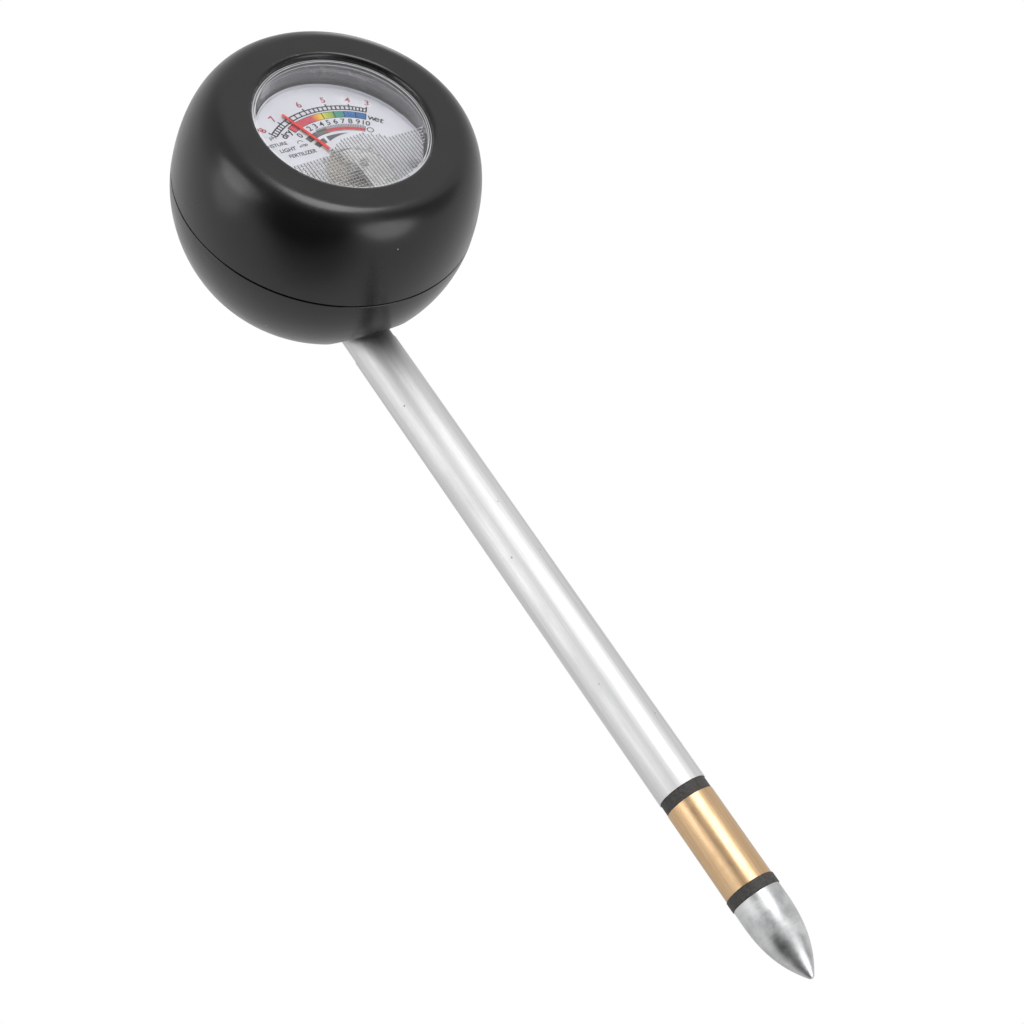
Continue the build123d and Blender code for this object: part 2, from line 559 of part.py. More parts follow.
def make_upper_insulator():
    """A black ring between tube and brass, with a spigot up into each."""
    bush = turned_up(BRASS_TOP, TUBE_END, UPPER_RING_RADIUS)
    bush += turned_up(TUBE_END, TUBE_END + SPIGOT_LENGTH, TUBE_BORE)
    bush += turned_up(BRASS_TOP - SPIGOT_LENGTH, BRASS_TOP, BRASS_BORE)
    bush -= turned_up(-200, 0, ROD_RADIUS + 0.6)
    return bush - turned_up(-200, 0, LEAD_RADIUS + 0.1, x=LEAD_OFFSET)


def make_brass_electrode():
    ring = turned_up(BRASS_END, BRASS_TOP, BRASS_RADIUS)
    ring = fillet(ring.edges().filter_by(GeomType.CIRCLE), 0.15)
    return ring - turned_up(BRASS_END - 1, BRASS_TOP + 1, BRASS_BORE)


def make_lower_insulator():
    bush = turned_up(TIP_TOP, BRASS_END, LOWER_RING_RADIUS)
    bush = fillet(bush.edges().filter_by(GeomType.CIRCLE), 0.2)
    bush += turned_up(BRASS_END, BRASS_END + SPIGOT_LENGTH, BRASS_BORE)
    return bush - turned_up(-200, 0, ROD_RADIUS + 0.6)


def make_tip():
    """A bullet: a short cylinder, an ogive tangent to it and a small rounded point."""
    shoulder = TIP_TOP - TIP_STRAIGHT
    point = CenterArc((0, TIP_END + TIP_POINT), TIP_POINT, -90, 62)
    nose = Bezier((TIP_RADIUS, shoulder), (TIP_RADIUS, shoulder - 8.5), (3.3, shoulder - 13.2), point @ 1)
    sides = Polyline((0, TIP_END), (0, TIP_TOP), (TIP_RADIUS, TIP_TOP), (TIP_RADIUS, shoulder))
    tip = turned(sides, nose, point)
    return tip - turned_up(ROD_END, TIP_TOP + 1, ROD_RADIUS)


def make_rod_nut():
    low = TUBE_END + SPIGOT_LENGTH + 0.9
    nut = Pos(0, 0, low) * Rot(0, 0, 30) * extrude(RegularPolygon(3.1, 6), 2.4)
    return nut - turned_up(low - 1, low + 4, ROD_RADIUS)


def make_tip_tag():
    """A solder tag under the rod's nut, bent up beside it."""
    low = TUBE_END + SPIGOT_LENGTH
    tag = turned_up(low, low + 0.9, 3.6) - turned_up(low - 1, low + 2, ROD_RADIUS)
    tag -= turned_up(low - 1, low + 2, LEAD_RADIUS + 0.3, x=LEAD_OFFSET)
    return tag + Pos(TAG_X, 0, low + 3.0) * Box(0.5, 2.0, 6.0)


def make_sleeve():
    low, high = TIP_TOP + 0.2, TUBE_END + SPIGOT_LENGTH - 0.2
    return turned_up(low, high, ROD_RADIUS + 0.6) - turned_up(low - 1, high + 1, ROD_RADIUS)


def in_head(points):
    """Places in the head frame, as points of the part's own frame."""
    return [Vector(u, TUBE_H - h, HEAD_ABOVE_ORIGIN + v) for u, v, h in points]


# ---- the pieces --------------------------------------------------------------------------------------
def screws(places, *sizes):
    """Like screws at several places, as one node."""
    return group([screw(*place, *sizes) for place in places])


clamp_top = TUBE_H + TUBE_NECK + WALL
bridge_foot = YOKE_FRONT + 1.2
head_nodes = {
    "front_shell": make_front_shell(),
    "rear_shell": make_rear_shell(),
    "shell_screws": screws(shell_screw_places, SHELL_SCREW_SEAT, SHELL_SCREW_TIP, 2.3, 1.6,
                           SHELL_SHANK_RADIUS),
    "window": make_window(),
    "dial_plate": make_dial_plate(),
    "dial_screws": screws(dial_screw_places, DIAL_FRONT, BASE_BACK + 0.2, 1.4, 0.7, 0.75),
    "pointer_stops": group([post(u, v, DIAL_BACK, POINTER_BACK + 0.6, STOP_RADIUS) for u, v in stop_places]),
    "meter_base": make_meter_base(),
    "base_screws": screws(ear_places, BASE_BACK, 20, 2.3, 1.5, 1.2),
    "terminal_pins": group([post(u, v, 8.0, DIAL_BACK - 0.1, 0.5) for u, v in terminal_places]),
    "magnet_yoke": make_yoke(),
    "coil_cover": make_coil_cover(),
    "core_magnet": make_core(),
    "core_spacers": make_core_spacers(),
    "front_bridge": make_front_bridge(),
    "front_bridge_screws": screws(front_bridge_screw_places, bridge_foot, 9.5, 1.3, 0.7, 0.7),
    "rear_bridge": make_rear_bridge(),
    "rear_bridge_screws": screws(rear_bridge_screw_places, CUP_BACK - 1, 4.8, 1.4, 0.8, 0.7),
    "front_jewel_screw": make_jewel_screw(BRIDGE_BACK - 0.4, BRIDGE_BACK + 1.9, BRIDGE_BACK - 0.4),
    "rear_jewel_screw": make_jewel_screw(-1.2, CUP_BACK - 0.2, CUP_BACK - 0.2),
    "zero_lever": make_zero_lever(),
    "front_hairspring": hairspring(FRONT_SPRING),
    "rear_hairspring": hairspring(REAR_SPRING),
    "pointer": make_pointer(),
    "pointer_hub": make_pointer_hub(),
    "balance_weights": make_balance_weights(),
    "coil_former": make_coil_former(),
    "coil_winding": make_coil_winding(),
    "pivot_staffs": make_staffs(),
    "circuit_board": make_board(),
    "board_screws": screws(board_screw_places, BOARD_FRONT, BOARD_BACK - 4.5, 2.0, 1.2, 0.8),
    "selector_switch": make_switch(),
    "selector_knob": make_selector_knob(),
    "calibration_resistors": group([make_resistor(v) for v in (4.0, 8.0, 12.0)]),
    "light_cell": make_light_cell(),
    "light_lens": make_light_lens(),
    "tube_clamp": make_clamp(),
    "clamp_screws": screws(clamp_screw_places, TUBE_H + 4.4, TUBE_H - 2.5, 2.2, 1.4, 1.0),
    "tube_screw": screw(0, CLAMP_V, clamp_top + 0.4, TUBE_H + 4.2, 2.2, 1.4, 1.2),
    "tube_solder_tag": make_tube_tag(),
}


def tube_lead():
    """A wire from the tag on the tube to the front of the board."""
    foot, low, high = CLAMP_V + 5.6, clamp_top + 0.4, clamp_top + 3.0
    route = [(0, foot, low), (0, foot, high), (-7, PAD_V, high), (-7, PAD_V, BOARD_FRONT)]
    return lead(*in_head(route), bend=1.2)


def probe_lead(u, z, pad_u):
    """A wire up the inside of the tube and over to a pad on the back of the board."""
    route = [(u, -7.5, TUBE_H), (pad_u, PAD_V, TUBE_H - 0.6), (pad_u, PAD_V, BOARD_BACK)]
    return lead(Vector(u, 0, z), *in_head(route), bend=0.8)


def movement_lead(side):
    """A wire from a terminal pin of the movement to the front of the board."""
    pin, pad = side * 13.0, side * 9.5
    route = [(pin, 3.0, 8.0), (pin, 3.0, -2.0), (pad, 1.0, -12.0), (pad, 1.0, BOARD_FRONT)]
    return lead(*in_head(route), bend=6.0)


probe_nodes = {
    "probe_tube": make_tube(),
    "upper_insulator": make_upper_insulator(),
    "brass_electrode": make_brass_electrode(),
    "lower_insulator": make_lower_insulator(),
    "probe_tip": make_tip(),
    "tie_rod": turned_up(ROD_END, ROD_TOP, ROD_RADIUS),
    "tie_rod_nut": make_rod_nut(),
    "tie_rod_sleeve": make_sleeve(),
    "tip_solder_tag": make_tip_tag(),
    "tube_lead": tube_lead(),
    "brass_lead": probe_lead(LEAD_OFFSET, BRASS_TOP - SPIGOT_LENGTH - 2.0, 5.5),
    "tip_lead": probe_lead(TAG_X, TUBE_END + SPIGOT_LENGTH + 6.0, -5.5),
    "movement_lead_left": movement_lead(-1),
    "movement_lead_right": movement_lead(1),
}

os.makedirs("parts", exist_ok=True)
for name, shape in head_nodes.items():
    export_step(HEAD * shape, f"parts/{name}.step")
for name, shape in probe_nodes.items():
    export_step(shape, f"parts/{name}.step")
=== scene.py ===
# Soil moisture meter: finishes, printed dial, clear knurled window, studio light and camera.
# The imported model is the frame. The scene is in metres. The dial and the window are drawn in the head
# frame (u, v, h), in mm from the head's centre: u to the reader's right, v up and h out of the dial.
import bpy
import bmesh
import json
import math
from mathutils import Matrix, Vector


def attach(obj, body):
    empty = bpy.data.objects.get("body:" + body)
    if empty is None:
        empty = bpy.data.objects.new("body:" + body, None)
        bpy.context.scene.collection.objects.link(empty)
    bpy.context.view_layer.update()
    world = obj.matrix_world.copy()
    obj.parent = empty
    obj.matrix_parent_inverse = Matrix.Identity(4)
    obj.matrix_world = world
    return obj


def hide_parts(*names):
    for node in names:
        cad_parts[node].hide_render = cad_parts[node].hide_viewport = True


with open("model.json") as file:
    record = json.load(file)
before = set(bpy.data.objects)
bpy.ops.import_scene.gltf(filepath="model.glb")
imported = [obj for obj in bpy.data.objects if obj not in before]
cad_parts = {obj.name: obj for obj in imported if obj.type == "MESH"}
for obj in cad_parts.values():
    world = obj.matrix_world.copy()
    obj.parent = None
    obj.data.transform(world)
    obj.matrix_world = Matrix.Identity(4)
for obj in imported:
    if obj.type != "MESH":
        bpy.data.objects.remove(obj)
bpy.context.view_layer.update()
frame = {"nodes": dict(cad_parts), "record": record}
nodes = frame["nodes"]

MM = 0.001
HEAD_CENTRE = Vector((0, -23.4, 34.0)) * MM
HEAD = Matrix.Translation(HEAD_CENTRE) @ Matrix(((1, 0, 0, 0), (0, 0, -1, 0), (0, 1, 0, 0), (0, 0, 0, 1)))
PIVOT_V = -11.0             # the pointer's axis, mm in the head frame
PIVOT = (0, 0, HEAD_CENTRE.z + PIVOT_V * MM)        # the same axis in the scene
DIAL_FRONT = 15.4           # front of the dial plate, mm in the head frame


# ---- materials -----------------------------------------------------------------------------------
class Nodes:
    """Adds nodes to one tree. An input is another node's output or a constant."""

    def __init__(self, tree):
        self.tree = tree

    def add(self, kind, inputs=None, **settings):
        node = self.tree.nodes.new(kind)
        for name, value in settings.items():
            setattr(node, name, value)
        for name, value in (inputs or {}).items():
            if isinstance(value, bpy.types.NodeSocket):
                self.tree.links.new(value, node.inputs[name])
            else:
                node.inputs[name].default_value = value
        return node

    def scaled(self, value, low, high, to_low=0.0, to_high=1.0, smooth=False):
        return self.add("ShaderNodeMapRange", {"Value": value, "From Min": low, "From Max": high,
                                               "To Min": to_low, "To Max": to_high},
                        interpolation_type="SMOOTHSTEP" if smooth else "LINEAR").outputs["Result"]

    def maths(self, operation, a, b=0.0):
        return self.add("ShaderNodeMath", {0: a, 1: b}, operation=operation).outputs[0]


class Look(Nodes):
    """A node material in object coordinates, built up part by part round one shader."""

    def __init__(self, name, **constants):
        self.material = bpy.data.materials.new(name)
        self.material.use_nodes = True
        super().__init__(self.material.node_tree)
        self.shader = self.tree.nodes["Principled BSDF"]
        self.place = self.add("ShaderNodeTexCoord").outputs["Object"]
        self.normal = None
        for socket, value in constants.items():
            self.shader.inputs[socket.replace("_", " ")].default_value = value

    def link(self, value, socket):
        self.tree.links.new(value, self.shader.inputs[socket])

    def across(self):
        """How far to the reader's right of the object's middle plane."""
        return self.add("ShaderNodeSeparateXYZ", {"Vector": self.place}).outputs["X"]

    def from_pivot(self):
        return self.add("ShaderNodeVectorMath", {0: self.place, 1: PIVOT}, operation="SUBTRACT").outputs[0]

    def around_z(self):
        """Turns the shader's brushed grain round the Z axis."""
        tangent = self.add("ShaderNodeTangent", direction_type="RADIAL", axis="Z")
        self.link(tangent.outputs["Tangent"], "Tangent")

    def stretched(self, x, y, z):
        return self.add("ShaderNodeMapping", {"Vector": self.place, "Scale": (x, y, z)}).outputs["Vector"]

    def noise(self, per_metre, detail=2.0, rough=0.5, place=None):
        return self.add("ShaderNodeTexNoise", {"Vector": place or self.place, "Scale": per_metre,
                                               "Detail": detail, "Roughness": rough}).outputs["Fac"]

    def dots(self, per_metre, size, share):
        """1 in scattered small dots, 0 elsewhere: only a share of the cells holds one."""
        cell = self.add("ShaderNodeTexVoronoi", {"Vector": self.place, "Scale": per_metre})
        near = self.scaled(cell.outputs["Distance"], size * 0.6, size, 1.0, 0.0)
        pick = self.add("ShaderNodeSeparateColor", {"Color": cell.outputs["Color"]}).outputs["Red"]
        return self.maths("MULTIPLY", near, self.maths("LESS_THAN", pick, share))

    def ramp(self, value, stops, interpolation="LINEAR"):
        node = self.add("ShaderNodeValToRGB", {"Fac": value})
        node.color_ramp.interpolation = interpolation
        while len(node.color_ramp.elements) < len(stops):
            node.color_ramp.elements.new(0.5)
        for element, (at, colour) in zip(node.color_ramp.elements, sorted(stops)):
            element.position = at
            element.color = (*colour, 1)
        return node.outputs["Color"]

    def mixed(self, value, a, b):
        node = self.add("ShaderNodeMix", {"Factor": value}, data_type="RGBA")
        for i, colour in ((6, a), (7, b)):
            if isinstance(colour, bpy.types.NodeSocket):
                self.tree.links.new(colour, node.inputs[i])
            else:
                node.inputs[i].default_value = (*colour, 1)
        return node.outputs[2]

    def let_through(self, share, colour):
        """Mixes the shader with a plain see-through one."""
        passing = self.add("ShaderNodeBsdfTransparent", {"Color": colour})
        both = self.add("ShaderNodeMixShader", {"Fac": share})
        self.tree.links.new(self.shader.outputs[0], both.inputs[1])
        self.tree.links.new(passing.outputs[0], both.inputs[2])
        self.tree.links.new(both.outputs[0], self.tree.nodes["Material Output"].inputs["Surface"])

    def colour(self, value):
        self.link(value, "Base Color")

    def roughness(self, value):
        self.link(value, "Roughness")

    def bump(self, height, depth):
        """Relief whose full height is depth, in metres."""
        inputs = {"Height": height, "Distance": depth, "Strength": 1.0}
        if self.normal:
            inputs["Normal"] = self.normal
        self.normal = self.add("ShaderNodeBump", inputs).outputs["Normal"]
        self.link(self.normal, "Normal")


def shade(colour, factor):
    """The colour, darker or lighter by a factor."""
    return tuple(min(1.0, c * factor) for c in colour)


def moulded(name, colour, rough, grain=5200, depth=0.000004, dust=0.0):
    """Moulded plastic: fine grain, slow changes of gloss and, on outer pieces, a little dust."""
    look = Look(name)
    slow = look.noise(45, 3.0)
    base = look.mixed(slow, shade(colour, 0.86), shade(colour, 1.14))
    if dust:
        specks = look.dots(230, 0.05, dust)
        base = look.mixed(specks, base, (0.42, 0.41, 0.40))
    look.colour(base)
    smear = look.noise(110, 4.0, 0.6)
    look.roughness(look.scaled(smear, 0.3, 0.7, rough - 0.03, rough + 0.05))
    look.bump(look.noise(grain, 2.0), depth)
    return look.material


def metal(name, colour, rough, lines=(1, 1, 1), per_metre=900):
    """Bare or plated metal with tooling marks, drawn out along one axis by lines."""
    look = Look(name, Metallic=1.0)
    marks = look.noise(per_metre, 3.0, 0.6, look.stretched(*lines))
    cloud = look.noise(160, 3.0)
    look.colour(look.mixed(look.maths("MULTIPLY", marks, cloud), shade(colour, 0.8), shade(colour, 1.12)))
    look.roughness(look.scaled(marks, 0.3, 0.7, rough - 0.06, rough + 0.08))
    look.bump(marks, 0.000006)
    return look.material


def tube_metal():
    """Satin drawn aluminium: fine and wide lengthwise lines, dull patches and a few nicks."""
    look = Look("aluminium", Metallic=1.0, Anisotropic=0.3)
    look.around_z()
    lines = look.noise(2600, 3.0, 0.65, look.stretched(1, 1, 0.012))
    wide = look.noise(420, 2.0, 0.5, look.stretched(1, 1, 0.02))
    patch = look.noise(90, 4.0, 0.6, look.stretched(1, 1, 0.35))
    tone = look.maths("ADD", look.maths("MULTIPLY", lines, 0.5), look.maths("MULTIPLY", wide, 0.5))
    base = look.mixed(look.scaled(tone, 0.32, 0.68), (0.56, 0.565, 0.57), (0.77, 0.765, 0.76))
    base = look.mixed(look.scaled(patch, 0.52, 0.75, 0.0, 0.35), base, (0.58, 0.59, 0.61))
    nicks = look.dots(420, 0.11, 0.16)
    look.colour(look.mixed(nicks, base, (0.30, 0.30, 0.31)))
    look.roughness(look.scaled(patch, 0.3, 0.7, 0.46, 0.58))
    look.bump(lines, 0.000006)
    look.bump(look.maths("SUBTRACT", 1.0, nicks), 0.00003)
    return look.material


def brass_metal():
    """Turned brass, drawn lines along it and a faint brown tarnish."""
    look = Look("brass_band", Metallic=1.0, Anisotropic=0.4)
    look.around_z()
    lines = look.noise(2400, 3.0, 0.6, look.stretched(1, 1, 0.03))
    patch = look.noise(170, 4.0, 0.6)
    base = look.mixed(look.scaled(lines, 0.3, 0.7), (0.57, 0.38, 0.21), (0.70, 0.49, 0.295))
    look.colour(look.mixed(look.scaled(patch, 0.5, 0.8, 0.0, 0.5), base, (0.50, 0.33, 0.16)))
    look.roughness(look.scaled(patch, 0.3, 0.7, 0.26, 0.38))
    look.bump(lines, 0.000003)
    return look.material


def tip_metal():
    """Dull turned metal: rings round it, a rubbed grey patch and fine scratches."""
    look = Look("tip_metal", Metallic=1.0)
    rings = look.noise(2200, 2.0, 0.6, look.stretched(0.05, 0.05, 1))
    patch = look.noise(210, 4.0, 0.62)
    base = look.mixed(look.scaled(patch, 0.35, 0.68), (0.50, 0.505, 0.51), (0.76, 0.77, 0.77))
    look.colour(look.mixed(look.scaled(rings, 0.55, 0.75, 0.0, 0.4), base, (0.46, 0.46, 0.46)))
    look.roughness(look.scaled(patch, 0.3, 0.7, 0.34, 0.5))
    look.bump(rings, 0.000008)
    look.bump(patch, 0.00002)
    return look.material


def rough_insulator():
    """Black fibre with a coarse, dull surface."""
    look = Look("insulator_black")
    coarse = look.noise(1500, 4.0, 0.65)
    look.colour(look.mixed(look.scaled(coarse, 0.35, 0.7), (0.022, 0.02, 0.02), (0.075, 0.068, 0.062)))
    look.roughness(look.scaled(coarse, 0.3, 0.7, 0.5, 0.75))
    look.bump(coarse, 0.00006)
    return look.material


def clear(name, tint, milky=0.0, left_painted_light=None):
    """Clear moulded plastic. Shadow rays pass, so the light falls on what is behind it. The last argument is
    painted light: it makes the plastic milkier, and so paler, towards the reader's left, to stand for light
    falling on that side.
    """
    look = Look(name, IOR=1.49, Transmission_Weight=1.0 - milky, Specular_Tint=(0.3, 0.3, 0.3, 1.0))
    fine = look.noise(700, 3.0, 0.6, look.stretched(1, 1, 0.25))
    look.colour(look.mixed(fine, tint, shade(tint, 0.97)))
    look.roughness(look.scaled(fine, 0.4, 0.8, 0.015, 0.05))
    look.bump(fine, 0.00000015)
    # Painted light: less light passes and more is scattered towards the left, so that side shows paler.
    if left_painted_light:
        weight = look.scaled(look.across(), -17 * MM, -6 * MM, 1.0 - left_painted_light, 1.0 - milky, smooth=True)
        look.link(weight, "Transmission Weight")
    shadow = look.add("ShaderNodeLightPath").outputs["Is Shadow Ray"]
    look.let_through(look.maths("MULTIPLY", shadow, 0.92), (0.93, 0.93, 0.94, 1))
    return look.material


def facet(name, painted_brightness, tint, share):
    """The sloping sides of the knurled cells, in a pale copy with painted light and a dark copy with painted
    shade, which stand for how the grooves turn the light. They scatter light and pass a share of what is
    behind.
    """
    look = Look(name)
    fine = look.noise(1400, 2.0)
    look.colour(look.mixed(fine, (painted_brightness * 0.8,) * 3, (painted_brightness * 1.2,) * 3))
    look.roughness(look.scaled(fine, 0.3, 0.7, 0.35, 0.5))
    shadow = look.add("ShaderNodeLightPath").outputs["Is Shadow Ray"]
    seen = look.mixed(fine, (tint * 0.7,) * 3, (tint * 1.2,) * 3)
    look.let_through(look.maths("MAXIMUM", shadow, share), look.mixed(shadow, seen, (0.93, 0.93, 0.94)))
    return look.material


def ink(name, colour, rough=0.55):
    """Screen-printed ink: slightly uneven cover."""
    look = Look(name)
    cover = look.noise(2600, 3.0, 0.6)
    look.colour(look.mixed(look.scaled(cover, 0.45, 0.8, 0.0, 0.5), colour, shade(colour, 1.35)))
    look.roughness(look.scaled(cover, 0.3, 0.7, rough - 0.05, rough + 0.08))
    return look.material


BAND_REACH = 40             # the printed bands lie within this angle of upright, degrees


def band_ink(name, stops):
    """Ink whose colour changes with the angle about the pointer's axis, given in degrees clockwise."""
    look = Look(name)
    parts = look.add("ShaderNodeSeparateXYZ", {"Vector": look.from_pivot()})
    angle = look.maths("ARCTAN2", parts.outputs["X"], parts.outputs["Z"])
    share = look.scaled(angle, math.radians(-BAND_REACH), math.radians(BAND_REACH))
    cover = look.noise(2200, 3.0, 0.6)
    uneven = look.maths("ADD", share, look.maths("MULTIPLY", look.maths("SUBTRACT", cover, 0.5), 0.02))
    colour = look.ramp(uneven, [((at + BAND_REACH) / (2 * BAND_REACH), colour) for at, colour in stops])
    look.colour(look.mixed(look.scaled(cover, 0.5, 0.8, 0.0, 0.2), colour, (0.7, 0.7, 0.72)))
    look.roughness(look.scaled(cover, 0.3, 0.7, 0.45, 0.6))
    return look.material


def pointer_finish():
    """Red lacquer on the blade, fading to bare aluminium towards the hub."""
    look = Look("pointer_red")
    flat = look.add("ShaderNodeVectorMath", {0: look.from_pivot(), 1: (1, 0, 1)},
                    operation="MULTIPLY").outputs[0]
    reach = look.add("ShaderNodeVectorMath", {0: flat}, operation="LENGTH").outputs["Value"]
    bare = look.scaled(reach, 9.3 * MM, 10.0 * MM, 1.0, 0.0)
    cover = look.noise(2600, 3.0, 0.6)
    lacquer = look.mixed(look.scaled(cover, 0.45, 0.8, 0.0, 0.5), (0.78, 0.035, 0.03), (0.95, 0.06, 0.05))
    look.colour(look.mixed(bare, lacquer, (0.36, 0.36, 0.37)))
    look.link(bare, "Metallic")
    look.roughness(look.scaled(cover, 0.3, 0.7, 0.4, 0.52))
    return look.material


def cover_foil():
    """Dull sheet with a brown tarnish on its left half."""
    look = Look("cover_foil", Metallic=0.25)
    cloud = look.noise(240, 3.0)
    ragged = look.maths("MULTIPLY", look.maths("SUBTRACT", cloud, 0.5), 3 * MM)
    edge = look.maths("ADD", look.across(), ragged)
    look.colour(look.mixed(look.scaled(edge, -2.5 * MM, 0.5 * MM), (0.46, 0.41, 0.36), (0.74, 0.74, 0.73)))
    look.roughness(look.scaled(cloud, 0.3, 0.7, 0.5, 0.62))
    look.bump(look.noise(700, 3.0), 0.00001)
    return look.material


def winding_metal():
    """Enamelled copper wire, wound in turns."""
    look = Look("copper", Metallic=1.0)
    wave = look.add("ShaderNodeTexWave", {"Vector": look.place, "Scale": 2600.0, "Distortion": 1.5,
                                          "Detail": 2.0}, bands_direction="Y").outputs["Fac"]
    look.colour(look.mixed(wave, (0.30, 0.11, 0.05), (0.66, 0.30, 0.15)))
    look.roughness(look.scaled(wave, 0.0, 1.0, 0.45, 0.25))
    look.bump(wave, 0.00004)
    return look.material


def board_laminate():
    """Green laminate with a grid of paler tracks."""
    look = Look("board_green")
    grid = look.add("ShaderNodeTexBrick", {
        "Vector": look.stretched(1, 0, 1), "Scale": 330.0, "Mortar Size": 0.035,
        "Color1": (0.03, 0.13, 0.05, 1), "Color2": (0.035, 0.15, 0.06, 1), "Mortar": (0.08, 0.24, 0.10, 1)})
    look.colour(grid.outputs["Color"])
    look.roughness(look.scaled(look.noise(300, 3.0), 0.3, 0.7, 0.3, 0.45))
    return look.material


def resistor_lacquer():
    """Tan lacquer with colour bands across the body."""
    look = Look("resistor_tan")
    tan, wire = (0.55, 0.42, 0.24), (0.45, 0.45, 0.46)
    stops = [(0.0, wire), (0.20, tan), (0.32, (0.45, 0.16, 0.03)), (0.38, tan), (0.46, (0.02, 0.02, 0.02)),
             (0.52, tan), (0.60, (0.5, 0.02, 0.02)), (0.66, tan), (0.74, (0.45, 0.30, 0.05)), (0.80, wire)]
    colour = look.ramp(look.scaled(look.across(), -5 * MM, 5 * MM), stops, "CONSTANT")
    look.colour(look.mixed(look.noise(900, 2.0), colour, shade(tan, 0.9)))
    look.roughness(look.scaled(look.noise(500, 2.0), 0.3, 0.7, 0.3, 0.42))
    return look.material


def dial_lacquer():
    """White lacquer with a cool cast and a faint orange-peel."""
    look = Look("dial_white")
    cloud = look.noise(70, 3.0)
    look.colour(look.mixed(cloud, (0.63, 0.63, 0.675), (0.69, 0.69, 0.73)))
    look.roughness(look.scaled(look.noise(240, 2.0), 0.3, 0.7, 0.38, 0.5))
    look.bump(look.noise(900, 2.0), 0.000004)
    return look.material


BLACK = (0.0075, 0.0075, 0.008)
finishes = {
    "shell_plastic": moulded("shell_plastic", BLACK, 0.24, grain=2300, depth=0.000005, dust=0.06),
    "knob_plastic": moulded("knob_plastic", (0.02, 0.02, 0.021), 0.42, dust=0.08),
    "base_plastic": moulded("base_plastic", (0.03, 0.03, 0.031), 0.5),
    "insulator_black": rough_insulator(),
    "window_clear": clear("window_clear", (0.97, 0.975, 0.98)),
    "lens_clear": clear("lens_clear", (0.94, 0.96, 0.98)),
    "dial_white": dial_lacquer(),
    "steel": metal("steel", (0.62, 0.62, 0.63), 0.3, lines=(1, 1, 0.2)),
    "yoke_steel": metal("yoke_steel", (0.40, 0.34, 0.27), 0.36),
    "magnet": metal("magnet", (0.17, 0.17, 0.18), 0.5, per_metre=1500),
    "brass": metal("brass", (0.72, 0.53, 0.28), 0.3),
    "copper": winding_metal(),
    "aluminium": tube_metal(),
    "aluminium_foil": metal("aluminium_foil", (0.80, 0.80, 0.80), 0.28),
    "tip_metal": tip_metal(),
    "pointer_red": pointer_finish(),
    "board_green": board_laminate(),
    "resistor_tan": resistor_lacquer(),
    "cell": moulded("cell", (0.30, 0.11, 0.05), 0.3, grain=2500),
    "lead_red": moulded("lead_red", (0.50, 0.02, 0.02), 0.4),
    "lead_black": moulded("lead_black", (0.012, 0.012, 0.012), 0.4),
    "lead_yellow": moulded("lead_yellow", (0.62, 0.42, 0.03), 0.4),
    "sleeve_white": moulded("sleeve_white", (0.66, 0.66, 0.62), 0.45),
}
special = {"brass_electrode": brass_metal(), "coil_cover": cover_foil(),
           "front_bridge": metal("bridge_steel", (0.90, 0.90, 0.89), 0.46)}
special.update(dict.fromkeys(("front_jewel_screw", "zero_lever", "front_hairspring", "balance_weights"),
                             metal("plated_brass", (0.68, 0.66, 0.62), 0.3)))
slot_of = {part["node"]: part["material_slot"] for part in frame["record"]["subparts"]}


def paint(obj, material):
    """Gives every slot of an object one material."""
    if not obj.material_slots:
        obj.data.materials.append(material)
    for holder in obj.material_slots:
        holder.material = material


for name, obj in nodes.items():
    paint(obj, special.get(name) or finishes[slot_of[name]])


# ---- mesh helpers ----------------------------------------------------------------------------------
def piece(name, bm, materials, body="housing", smooth_to=None):
    """Turns a mesh drawn in the head frame, in mm, into a piece that rides on a body."""
    mesh = bpy.data.meshes.new(name)
    bm.to_mesh(mesh)
    bm.free()
    mesh.transform(HEAD @ Matrix.Scale(MM, 4))
    if smooth_to is not None:
        mesh.polygons.foreach_set("use_smooth", [True] * len(mesh.polygons))
        mesh.set_sharp_from_angle(angle=math.radians(smooth_to))
    obj = bpy.data.objects.new(name, mesh)
    bpy.context.scene.collection.objects.link(obj)
    for material in materials:
        mesh.materials.append(material)
    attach(obj, body)
    return obj


def polar(radius, degrees, h, about=(0.0, PIVOT_V)):
    """A point of the head frame, clockwise by degrees from upright round a centre."""
    angle = math.radians(degrees)
    return Vector((about[0] + radius * math.sin(angle), about[1] + radius * math.cos(angle), h))


def arc_band(bm, inner, outer, start, end, h, step=0.5):
    """A flat strip round the pivot. inner and outer are radii, or functions of the angle."""
    count = max(1, math.ceil((end - start) / step))
    rows = []
    for i in range(count + 1):
        at = start + (end - start) * i / count
        low = inner(at) if callable(inner) else inner
        high = outer(at) if callable(outer) else outer
        rows.append((bm.verts.new(polar(low, at, h)), bm.verts.new(polar(high, at, h))))
    for (a, b), (c, d) in zip(rows, rows[1:]):
        bm.faces.new((a, c, d, b))


def tick(bm, inner, outer, at, width, h):
    """A short radial line of constant width."""
    half = math.degrees(width / 2 / ((inner + outer) / 2))
    arc_band(bm, inner, outer, at - half, at + half, h, step=10)


def ring(bm, centre, radius, start, end, width, h, count=24):
    """A flat ring, or part of one, round its own centre."""
    rows = []
    for i in range(count + 1):
        at = start + (end - start) * i / count
        rows.append([bm.verts.new(polar(r, at, h, centre)) for r in (radius - width / 2, radius + width / 2)])
    for (a, b), (c, d) in zip(rows, rows[1:]):
        bm.faces.new((a, c, d, b))


